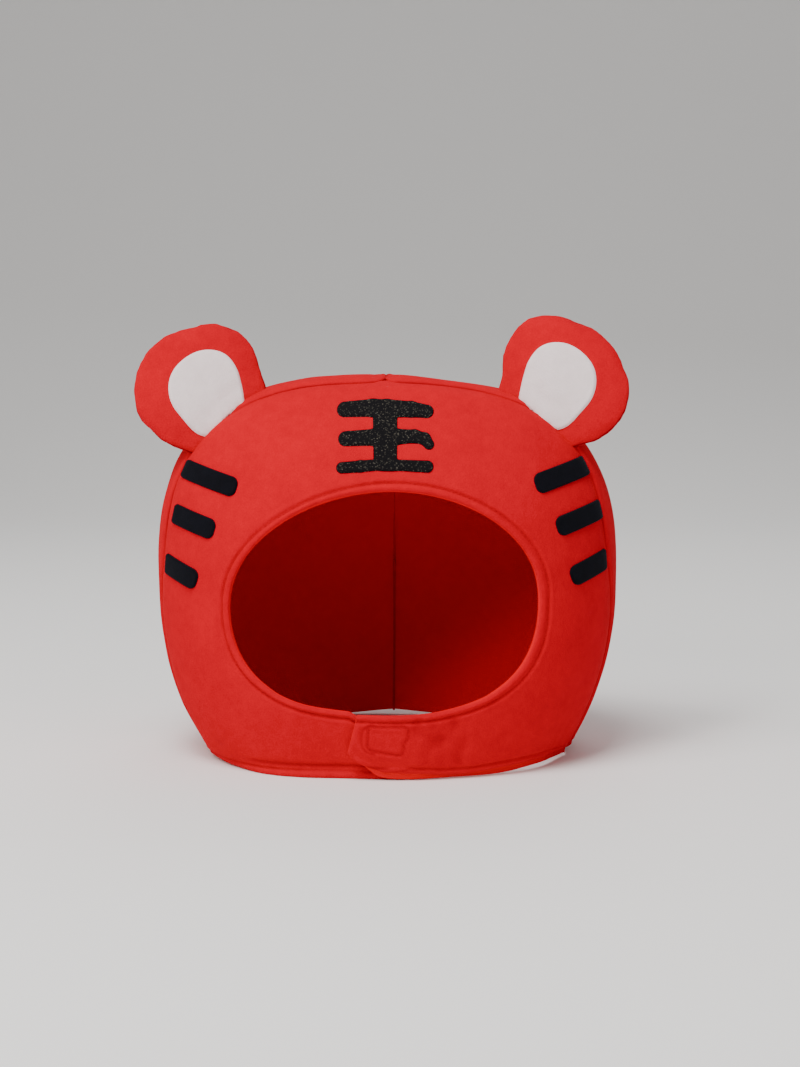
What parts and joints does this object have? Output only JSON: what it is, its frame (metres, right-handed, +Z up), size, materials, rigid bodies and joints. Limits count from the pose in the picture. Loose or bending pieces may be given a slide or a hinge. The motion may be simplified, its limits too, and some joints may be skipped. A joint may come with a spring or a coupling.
{
  "type": "plush tiger hat",
  "caption": "Padded plush hood hat in the shape of a tiger's head, with round ears, cheek stripes, a barred forehead mark, a wide face opening and a chin strap closed by overlap.",
  "frame": {"origin": "centre of the bounding box at the height of the hem, which rests on the ground", "axes": "+Z up out of the crown, -Y the way the face opening looks, +X the wearer's left"},
  "size_m": [0.3067, 0.2355, 0.2803],
  "materials": {
    "red_plush": "short velvety pile, matt",
    "white_plush": "short velvety pile, matt",
    "stripe_felt": "black felt, matt",
    "mark_fabric": "black cloth with a fine glint",
    "fastener_tape": "hook-and-loop tape"
  },
  "bodies": {
    "root": {"front_panel": "red_plush", "crown_right": "red_plush", "crown_left": "red_plush", "ear_right": "red_plush", "inner_ear_right": "white_plush", "ear_left": "red_plush", "inner_ear_left": "white_plush", "stripe_right_upper": "stripe_felt", "stripe_right_middle": "stripe_felt", "stripe_right_lower": "stripe_felt", "stripe_left_upper": "stripe_felt", "stripe_left_middle": "stripe_felt", "stripe_left_lower": "stripe_felt", "forehead_mark": "mark_fabric", "fastener_patch": "fastener_tape"}
  },
  "joints": []
}
